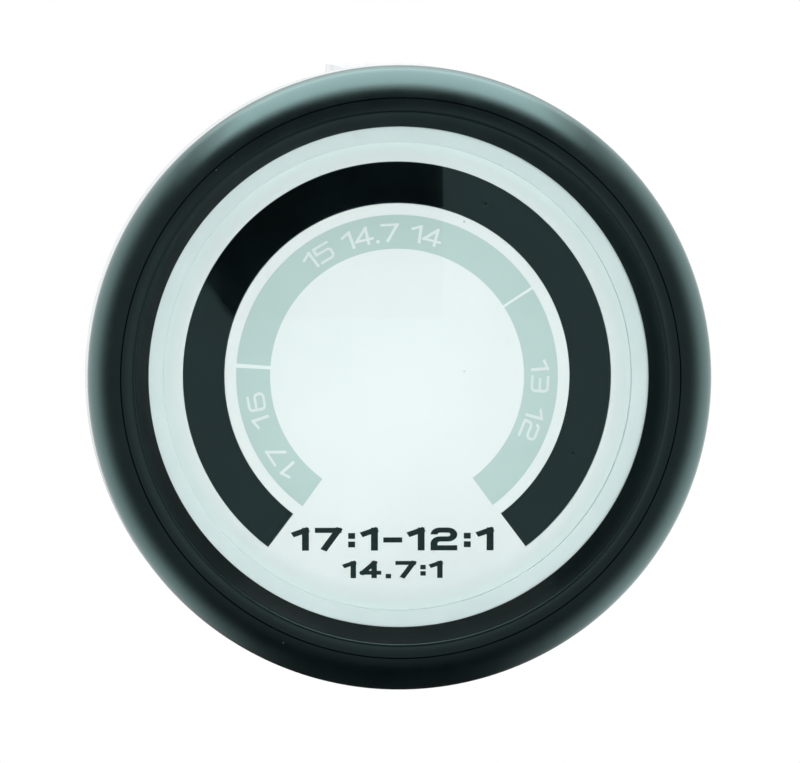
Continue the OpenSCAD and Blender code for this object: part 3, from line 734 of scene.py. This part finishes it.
# Digits as strokes on a cell one unit high, squared with rounded bends
digitStrokes = {
    "1": (0.42, (((0, 0.8), (0.42, 1)), ((0.42, 1), (0.42, 0)))),
    "2": (0.82, (((0, 0.78), (0, 1), (0.82, 1), (0.82, 0.5), (0, 0.5), (0, 0)), ((0, 0), (0.82, 0)))),
    "3": (0.82, (((0, 1), (0.82, 1), (0.82, 0), (0, 0)), ((0.2, 0.5), (0.82, 0.5)))),
    "4": (0.86, (((0.62, 0), (0.62, 1)), ((0.62, 1), (0, 0.26)), ((0, 0.26), (0.86, 0.26)))),
    "5": (0.82, (((0, 1), (0.8, 1)), ((0, 1), (0, 0.6)), ((0, 0.6), (0.82, 0.6), (0.82, 0), (0, 0)))),
    "6": (0.82, (((0.78, 1), (0, 1), (0, 0), (0.82, 0), (0.82, 0.56), (0, 0.56)),)),
    "7": (0.82, (((0, 1), (0.82, 1)), ((0.82, 1), (0.28, 0)))),
    "-": (0.5, (((0, 0.45), (0.5, 0.45)),)),
    ".": (0.1, (((0.05, -0.02), (0.05, 0.02)),)),
    ":": (0.1, (((0.05, 0.18), (0.05, 0.22)), ((0.05, 0.66), (0.05, 0.7)))),
    " ": (0.3, ()),
}


digitCell = {
    "merge": 1e-5, "wideShare": 0.9, "bendSteps": 6,
    "lift": 0.04,  # keeps crossing strokes apart
}


# A stroke: a short edge drawn along the points, turned round each bend
def strokeFaces(bm, points, weight, bendRadius, lift):
    points = [Vector((x, y, lift)) for x, y in points]
    half = weight / 2
    reach = half if len(points) == 2 else 0  # only a straight stroke goes past its ends
    ahead = (points[1] - points[0]).normalized()
    side = Vector((-ahead.y, ahead.x, 0)) * half
    start = points[0] - ahead * reach
    pair = [bm.verts.new(start + side), bm.verts.new(start - side)]
    edge = bm.edges.new(pair)
    at = start
    for index in range(1, len(points)):
        ahead = (points[index] - points[index - 1]).normalized()
        last = index == len(points) - 1
        nextAhead = None if last else (points[index + 1] - points[index]).normalized()
        stop = points[index] - ahead * bendRadius
        if last:
            stop = points[index] + ahead * reach
        made = bmesh.ops.extrude_edge_only(bm, edges=[edge])
        bmesh.ops.translate(bm, verts=vertsOf(made), vec=stop - at)
        edge = next(item for item in made["geom"] if isinstance(item, bmesh.types.BMEdge))
        at = stop
        if not last:
            left = 1 if ahead.x * nextAhead.y - ahead.y * nextAhead.x > 0 else -1
            centre = at + Vector((-ahead.y, ahead.x, 0)) * left * bendRadius
            swept = bmesh.ops.spin(bm, geom=[*edge.verts, edge], cent=centre, axis=(0, 0, 1),
                                   angle=math.radians(90) * left, steps=digitCell["bendSteps"],
                                   use_duplicate=False)
            edge = next(item for item in swept["geom_last"] if isinstance(item, bmesh.types.BMEdge))
            at = points[index] + nextAhead * bendRadius


# One digit as thin ink, its height and stroke weight in millimetres, stretched sideways
def addDigit(bm, character, look, place):
    wide, strokes = digitStrokes[character]
    glyph = bmesh.new()
    thick = look["weight"]
    shrink = (look["height"] - thick) / look["height"]
    for index, stroke in enumerate(strokes):
        points = [((x - wide / 2) * look["height"] * shrink, (y - 0.5) * look["height"] * shrink)
                  for x, y in stroke]
        strokeFaces(glyph, points, thick, look["bend"], index * digitCell["lift"])
    bmesh.ops.remove_doubles(glyph, verts=glyph.verts, dist=digitCell["merge"])
    thicken(glyph, (0, 0, 1))
    bmesh.ops.scale(glyph, verts=glyph.verts, vec=(look["stretch"], 1, dial["ink"]))
    bmesh.ops.transform(glyph, matrix=place, verts=glyph.verts)
    addFaces(bm, glyph)


# Middles of the characters that spread a text over a length
def spreadText(text, length, look):
    size = look["height"] * look["stretch"]
    stroke = look["weight"] * look["stretch"]
    widths = [digitStrokes[character][0] * size * digitCell["wideShare"] + stroke for character in text]
    gap = (length - sum(widths)) / (len(text) - 1)
    middles = []
    at = -length / 2
    for width in widths:
        middles.append(at + width / 2)
        at += width + gap
    return middles


def dialPlace(right, up, turn, lift):
    spin = Matrix.Rotation(-math.radians(turn), 4, "Z")  # clockwise for the driver
    stand = Matrix.Rotation(math.radians(90), 4, "X")
    move = Matrix.Translation((right * mm, (dialFront - lift) * mm, up * mm))
    return move @ stand @ Matrix.Scale(mm, 4) @ spin


zoneNumbers = {
    "radius": 13.16, "height": 1.67, "weight": 0.23, "bend": 0.3, "stretch": 1.2,
    "runs": (("17 16", 244.8, 8.5), ("15 14.7 14", 349.4, 13.3), ("13 12", 99.9, 7.5)),
}
ratioLines = (
    {"text": "17:1-12:1", "right": -0.4, "up": -15.0, "long": 18.7, "height": 2.1, "weight": 0.47,
     "bend": 0.4, "stretch": 1.36},
    {"text": "14.7:1", "right": -0.4, "up": -17.8, "long": 9.3, "height": 1.57, "weight": 0.36,
     "bend": 0.3, "stretch": 1.4},
)


def makeZoneNumbers():
    bm = bmesh.new()
    radius = zoneNumbers["radius"]
    for text, middle, length in zoneNumbers["runs"]:
        for character, along in zip(text, spreadText(text, length, zoneNumbers)):
            turn = middle + math.degrees(along / radius)
            angle = math.radians(turn)
            place = dialPlace(radius * math.sin(angle), radius * math.cos(angle), turn, dial["ink"])
            addDigit(bm, character, zoneNumbers, place)
    finishPiece(bm, "zoneNumbers", "inkWhite", [], weigh=False)


def makeRatioNumbers():
    bm = bmesh.new()
    for line in ratioLines:
        for character, along in zip(line["text"], spreadText(line["text"], line["long"], line)):
            addDigit(bm, character, line, dialPlace(along + line["right"], line["up"], 0, 0))
    finishPiece(bm, "ratioNumbers", "inkBlack", [], weigh=False)


makeDial()
makeWindow()
makeZoneArcs()
makeZoneNumbers()
makeRatioNumbers()
print("dial made")


# Pieces that keep the shape of their solid, with their edges softened
softPieces = {
    "case": {"name": "caseCup", "edge": 0.2, "finish": "black"},
    "led_baffle": {"name": "ledBaffle", "edge": 0.04, "finish": "white"},
    "light_guide": {"name": "lightGuide", "edge": 0.1, "finish": "guide"},
    "leds_lean": {"name": "ledsLean", "edge": 0.06, "finish": "ledRed"},
    "leds_stoich": {"name": "ledsStoich", "edge": 0.06, "finish": "ledGreen"},
    "leds_rich": {"name": "ledsRich", "edge": 0.06, "finish": "ledAmber"},
    "display_board": {"name": "displayBoard", "edge": 0.06, "finish": "board"},
    "driver_board": {"name": "driverBoard", "edge": 0.06, "finish": "board"},
    "link_header": {"name": "linkBar", "edge": 0.08, "finish": "black"},
    "link_pins": {"name": "linkPins", "edge": 0.08, "finish": "gold"},
    "driver_chip_upper": {"name": "driverChipUpper", "edge": 0.05, "finish": "chip"},
    "driver_chip_lower": {"name": "driverChipLower", "edge": 0.05, "finish": "chip"},
    "voltage_regulator": {"name": "voltageRegulator", "edge": 0.08, "finish": "chip"},
    "smoothing_capacitor": {"name": "smoothingCapacitor", "edge": 0.1, "finish": "sleeve"},
    "resistors": {"name": "chipResistors", "edge": 0.06, "finish": "chip"},
    "header_shell": {"name": "inletShroud", "edge": 0.15, "finish": "natural"},
    "header_pins": {"name": "inletPins", "edge": 0.1, "finish": "gold"},
    "front_spacers": {"name": "frontSpacers", "edge": 0.15, "finish": "aluminium"},
    "rear_spacers": {"name": "rearSpacers", "edge": 0.15, "finish": "aluminium"},
    "lamp_holder": {"name": "lampHolder", "edge": 0.22, "finish": "black", "body": "lamp_unit"},
    "lamp_seal": {"name": "lampSeal", "edge": 0.08, "finish": "rubber", "body": "lamp_unit"},
    "lamp": {"name": "dialLamp", "edge": 0.1, "finish": "bulb", "body": "lamp_unit"},
    "bracket": {"name": "clampStrip", "edge": 0.18, "finish": "zinc", "body": "clamp_bracket"},
}
softAngle = 35
flatAngle = 0.6  # degrees, below which faces are one flat


def makeSoftPieces():
    for node, piece in softPieces.items():
        bm = bmesh.new()
        bm.from_mesh(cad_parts[node].data)
        bmesh.ops.remove_doubles(bm, verts=bm.verts, dist=samePlace * 10)
        bmesh.ops.dissolve_limit(bm, angle_limit=math.radians(flatAngle), verts=bm.verts, edges=bm.edges,
                                 delimit={"NORMAL"})
        bevelSharp(bm, piece["edge"], angle=softAngle)
        finishPiece(bm, piece["name"], piece["finish"], [node], piece.get("body", gaugeBody))


makeSoftPieces()
print("softened pieces made")


# Studs with a rolled thread, nuts and spring washers
stud = {
    "pitch": 0.7, "round": 28,  # steps in a turn
    "root": 1.6, "radius": 2.0, "rootFlat": 0.0875, "crestHalf": 0.044, "cutNear": 1e-8,
    "threadFrom": 25.9, "overlap": 0.2, "merge": 2e-6, "tip": 0.4, "tipShare": 0.78, "crownWide": 0.5,
    "crownDeep": 0.3, "underEdge": 0.1, "headSteps": 64,
}


def studHeights():
    low, high = nodeBox("upper_nut")
    upper = (low[2] + high[2]) / 2
    return (-upper, upper)


# A tooth's section swept along a helix, cut square at both ends, with a tapered tip
def addThread(bm, up, start, end):
    pitch = stud["pitch"]
    crestFrom = pitch / 2 - stud["crestHalf"]
    tooth = [
        (stud["root"], 0), (stud["root"], stud["rootFlat"]), (stud["radius"], crestFrom),
        (stud["radius"], pitch - crestFrom), (stud["root"], pitch - stud["rootFlat"]), (stud["root"], pitch),
    ]
    turns = math.ceil((end - start) / pitch) + 2
    rod = bmesh.new()
    verts, edges = drawLine(rod, [(r, start - pitch + y, 0) for r, y in tooth])
    bmesh.ops.spin(rod, geom=verts + edges, cent=(0, 0, 0), axis=(0, 1, 0), angle=math.tau * turns,
                   dvec=(0, pitch / stud["round"] * mm, 0), steps=stud["round"] * turns, use_merge=False,
                   use_duplicate=False)
    bmesh.ops.remove_doubles(rod, verts=rod.verts, dist=stud["merge"])
    for depth, side in ((start, -1), (end - stud["tip"], 1)):
        bmesh.ops.bisect_plane(rod, geom=rod.verts[:] + rod.edges[:] + rod.faces[:], dist=stud["cutNear"],
                               plane_co=(0, depth * mm, 0), plane_no=(0, side, 0), clear_outer=True)
    rim = [edge for edge in rod.edges if edge.is_boundary]
    caps = bmesh.ops.holes_fill(rod, edges=rim, sides=0)["faces"]
    bmesh.ops.recalc_face_normals(rod, faces=rod.faces)
    last = [face for face in caps if face.calc_center_median().y > (start + end) / 2 * mm]
    made = bmesh.ops.extrude_face_region(rod, geom=last)
    bmesh.ops.delete(rod, geom=last, context="FACES_ONLY")
    tip = vertsOf(made)
    bmesh.ops.translate(rod, verts=tip, vec=(0, stud["tip"] * mm, 0))
    bmesh.ops.scale(rod, verts=tip, vec=(stud["tipShare"], 1, stud["tipShare"]))
    bmesh.ops.translate(rod, verts=rod.verts, vec=(0, 0, up * mm))
    addFaces(bm, rod)


def makeStuds():
    front, back = depthsOf("stud_screws")
    headBack = depthsOf("display_board")[0]
    head, shank = radiusOf("stud_screws"), stud["radius"]
    shankEnd = stud["threadFrom"] + stud["overlap"]
    profile = [
        (0, front), (head - stud["crownWide"], front), (head, front + stud["crownDeep"]),
        (head, headBack - stud["underEdge"]), (head - stud["underEdge"], headBack), (shank, headBack),
        (shank, shankEnd), (0, shankEnd),
    ]
    bm = bmesh.new()
    for up in studHeights():
        spinProfile(bm, profile, stud["headSteps"], up, closed=False)
    for up in studHeights():
        addThread(bm, up, stud["threadFrom"], back)
    finishPiece(bm, "studScrews", "yellowZinc", ["stud_screws"], weigh=False)


nut = {
    "corner": 7 / math.sqrt(3),  # from 7 across the flats
    "chamferWide": 0.5, "chamferDeep": 0.3, "bore": 2.05, "countersink": 0.35,
    "spareWide": 0.02, "spareDeep": 0.01, "steps": 72,
}


# A hexagonal prism, and what it has in common with a chamfered ring
def nutMesh(front, back, up):
    prism = bmesh.new()
    bmesh.ops.create_cone(prism, cap_ends=True, segments=6, radius1=nut["corner"] * mm,
                          radius2=nut["corner"] * mm, depth=(back - front) * mm)
    turn = Matrix.Rotation(math.radians(90), 4, "X") @ Matrix.Rotation(math.radians(30), 4, "Z")
    bmesh.ops.transform(prism, matrix=Matrix.Translation((0, (front + back) / 2 * mm, up * mm)) @ turn,
                        verts=prism.verts)
    wide = nut["corner"] + nut["spareWide"]
    mouth = nut["bore"] + nut["countersink"]
    frontFace, backFace = front - nut["spareDeep"], back + nut["spareDeep"]
    profile = [
        (nut["bore"], front + nut["countersink"]), (mouth, frontFace),
        (wide - nut["chamferWide"], frontFace), (wide, front + nut["chamferDeep"]),
        (wide, back - nut["chamferDeep"]), (wide - nut["chamferWide"], backFace),
        (mouth, backFace), (nut["bore"], back - nut["countersink"]),
    ]
    ring = bmesh.new()
    spinProfile(ring, profile, nut["steps"], up)
    return commonShape(prism, ring)


def makeNuts():
    lower, upper = studHeights()
    for node, name, up in (("upper_nut", "clampNutUpper", upper), ("lower_nut", "clampNutLower", lower)):
        finishPiece(nutMesh(*depthsOf(node), up), name, "yellowZinc", [node], node)
    pair = nutMesh(*depthsOf("jam_nuts"), upper)
    addFaces(pair, nutMesh(*depthsOf("jam_nuts"), lower))
    finishPiece(pair, "jamNuts", "yellowZinc", ["jam_nuts"])


# Spring washers, split on one side
washer = {
    "hole": 2.12, "outer": 3.7, "edge": 0.1, "edgeSteps": 3,
    "openFrom": 5, "turn": 350, "steps": 70,  # degrees, and steps in the turn
}


def makeWashers():
    front, back = depthsOf("lock_washers")
    section = ringSection(washer["hole"], washer["outer"], front, back, washer["edge"],
                          washer["edgeSteps"])
    bm = bmesh.new()
    for up in studHeights():
        verts, edges = drawLine(bm, [(r, y, up) for r, y in section], closed=True)
        first = bmesh.ops.contextual_create(bm, geom=edges)["faces"]
        spot = (0, 0, up * mm)
        turn = Matrix.Rotation(math.radians(-washer["openFrom"]), 3, "Y")
        bmesh.ops.rotate(bm, verts=verts, cent=spot, matrix=turn)
        bmesh.ops.spin(bm, geom=verts + edges + first, cent=spot, axis=(0, 1, 0),
                       angle=-math.radians(washer["turn"]), steps=washer["steps"], use_merge=False,
                       use_duplicate=False)
    bmesh.ops.recalc_face_normals(bm, faces=bm.faces)
    finishPiece(bm, "springWashers", "zinc", ["lock_washers"], "clamp_bracket")


makeStuds()
makeNuts()
makeWashers()
print("fasteners made")


# Camera: the driver looks along +Y, from slightly left of the axis and slightly above it
shot = {
    "distance": 1300, "azimuth": -3.05, "elevation": 2.0, "frameWide": 73.2, "sensor": 36,
    "aim": (0.03, -7.2, -0.365), "clip": (0.05, 50),
}


def makeCamera():
    turn = math.radians(shot["azimuth"])
    rise = math.radians(shot["elevation"])
    away = Vector((math.sin(turn) * math.cos(rise), -math.cos(turn) * math.cos(rise), math.sin(rise)))
    data = bpy.data.cameras.new("driverView")
    data.sensor_width = shot["sensor"]
    data.lens = shot["sensor"] * shot["distance"] / shot["frameWide"]
    data.clip_start, data.clip_end = shot["clip"]
    camera = addObject("driverView", data)
    camera.location = (Vector(shot["aim"]) + away * shot["distance"]) * mm
    camera.rotation_euler = away.to_track_quat("Z", "Y").to_euler()
    bpy.context.scene.camera = camera


# Lamps: clock is the clockwise place round the driver's view, polar the angle from straight in front
lamps = {
    "overheadWide": {"clock": 0, "polar": 84, "far": 600, "wide": 960, "tall": 1250, "radiance": 1.15,
                     "hideFrom": "diffuse"},
    "overheadCore": {"clock": 0, "polar": 78, "far": 560, "wide": 700, "tall": 680, "radiance": 1.75,
                     "hideFrom": "diffuse"},
    "dialFill": {"clock": 330, "polar": 2, "far": 1800, "wide": 200, "tall": 200, "radiance": 195,
                 "hideFrom": "glossy"},
    "dialBelow": {"clock": 180, "polar": 60, "far": 600, "wide": 900, "tall": 600, "radiance": 2.35,
                  "hideFrom": "glossy"},
}


def makeLamps():
    for name, box in lamps.items():
        clock = math.radians(box["clock"])
        polar = math.radians(box["polar"])
        across = math.sin(polar)
        away = Vector((across * math.sin(clock), -math.cos(polar), across * math.cos(clock)))
        data = bpy.data.lights.new(name, "AREA")
        data.shape = "RECTANGLE"
        data.size = box["wide"] * mm
        data.size_y = box["tall"] * mm
        data.energy = box["radiance"] * math.pi * data.size * data.size_y  # watts
        lamp = addObject(name, data)
        lamp.location = away * box["far"] * mm
        lamp.rotation_euler = away.to_track_quat("Z", "Y").to_euler()
        lamp.visible_camera = False
        lamp.visible_diffuse = box["hideFrom"] != "diffuse"
        lamp.visible_glossy = box["hideFrom"] != "glossy"
        lamp.visible_transmission = box["hideFrom"] != "glossy"


# Dark card in front, that only mirror rays see: it gives the dark patch in the smoked window
card = {
    "ahead": -250, "corners": ((17.9, -2.3), (17.9, 45), (-39, 45), (-7.7, 1.6), (-4.8, -2.3)),
    "colour": (0.002, 0.003, 0.003),
}


def makeCard():
    bm = bmesh.new()
    line = drawLine(bm, [(x, card["ahead"], z) for x, z in card["corners"]], closed=True)
    bmesh.ops.contextual_create(bm, geom=line[1])
    sheet = meshObject(bm, "darkCard")
    material, tree, shader = startFinish("darkCard")
    feed(tree, shader.inputs["Base Color"], card["colour"])
    shader.inputs["Roughness"].default_value = 1.0
    sheet.data.materials.append(material)
    sheet.visible_camera = False
    sheet.visible_diffuse = False
    sheet.visible_shadow = False


# Room: white to the camera, and as the black bezel mirrors it by the angle from straight in front
room = {
    "levels": {0: 0.3, 7: 0.3, 12: 0.12, 45: 0.1, 58: 0.42, 75: 1.08, 96: 1.42, 115: 1.58, 145: 1.5,
               160: 1.7, 180: 1.7},
    "most": 2.0,  # the level that a full white in the ramp stands for
    "below": 0.015, "belowFrom": 0.67, "belowTo": 0.96,  # share left low down, past the view's middle
    "aheadFrom": -0.7, "aheadTo": -0.97,
    "above": 0.25, "aboveFrom": 0.6, "aboveTo": 0.85, "behindFrom": 0.35,  # share left high up in front
}


def makeRoom():
    world = bpy.data.worlds.new("room")
    bpy.context.scene.world = world
    world.use_nodes = True
    tree = world.node_tree
    background = tree.nodes["Background"]
    direction = tree.nodes.new("ShaderNodeSeparateXYZ")
    tree.links.new(tree.nodes.new("ShaderNodeTexCoord").outputs["Generated"], direction.inputs["Vector"])
    right, along, up = direction.outputs
    ramp = tree.nodes.new("ShaderNodeValToRGB")
    tree.links.new(mapNode(tree, along, 1, -1), ramp.inputs["Fac"])
    stops = sorted(((1 + math.cos(math.radians(angle))) / 2, level)
                   for angle, level in room["levels"].items())
    while len(ramp.color_ramp.elements) < len(stops):
        ramp.color_ramp.elements.new(0.5)
    for element, (position, level) in zip(ramp.color_ramp.elements, stops):
        element.position = position
        element.color = (*(level / room["most"],) * 3, 1)
    level = mathNode(tree, "MULTIPLY", ramp.outputs["Color"], room["most"])
    upward = mathNode(tree, "DIVIDE", up, flatLength(tree, right, up))
    ahead = mapNode(tree, along, room["aheadFrom"], room["aheadTo"], 1, 0, smooth=True)
    below = mapNode(tree, upward, -room["belowFrom"], -room["belowTo"], smooth=True)
    below = mathNode(tree, "MULTIPLY", below, ahead)
    above = mapNode(tree, upward, room["aboveFrom"], room["aboveTo"], smooth=True)
    above = mathNode(tree, "MULTIPLY", above, mapNode(tree, along, room["behindFrom"], 0.0, smooth=True))
    dim = mixColour(tree, above, (1, 1, 1), (room["above"],) * 3)
    dim = mixColour(tree, below, dim, (room["below"],) * 3)
    level = mathNode(tree, "MULTIPLY", level, dim)
    seen = tree.nodes.new("ShaderNodeLightPath").outputs["Is Camera Ray"]
    tree.links.new(mixColour(tree, seen, level, (1, 1, 1)), background.inputs["Color"])


# Floor: a pale patch under and behind the gauge that fades out into the white room
floor = {
    "height": -75, "centre": (0, 150), "half": 420, "solid": 140, "clear": 340, "patch": 30, "rough": 0.9,
    "dark": (0.9, 0.91, 0.91), "light": (0.93, 0.94, 0.94),
}


def makeFloor():
    bm = bmesh.new()
    bmesh.ops.create_grid(bm, x_segments=1, y_segments=1, size=floor["half"] * mm)
    x, y = floor["centre"]
    bmesh.ops.translate(bm, verts=bm.verts, vec=(x * mm, y * mm, floor["height"] * mm))
    patch = meshObject(bm, "floorPatch")
    material, tree, shader = startFinish("paleFloor")
    shader.inputs["Roughness"].default_value = floor["rough"]
    blotchy = useGroup(tree, blotches, scale=floor["patch"])
    tree.links.new(mixColour(tree, blotchy, floor["dark"], floor["light"]), shader.inputs["Base Color"])
    reach = tree.nodes.new("ShaderNodeVectorMath")
    reach.operation = "LENGTH"
    fromCentre = objectPlace(tree, location=(-x * mm, -y * mm, -floor["height"] * mm))
    tree.links.new(fromCentre, reach.inputs[0])
    fade = mapNode(tree, reach.outputs["Value"], floor["solid"] * mm, floor["clear"] * mm, 1, 0, smooth=True)
    tree.links.new(fade, shader.inputs["Alpha"])
    patch.data.materials.append(material)
    patch.visible_glossy = False  # the bezel's foot mirrors the dark room instead
    patch.visible_shadow = False


makeCamera()
makeLamps()
makeCard()
makeRoom()
makeFloor()
bpy.context.scene.view_settings.view_transform = "Standard"
print("camera and light set")
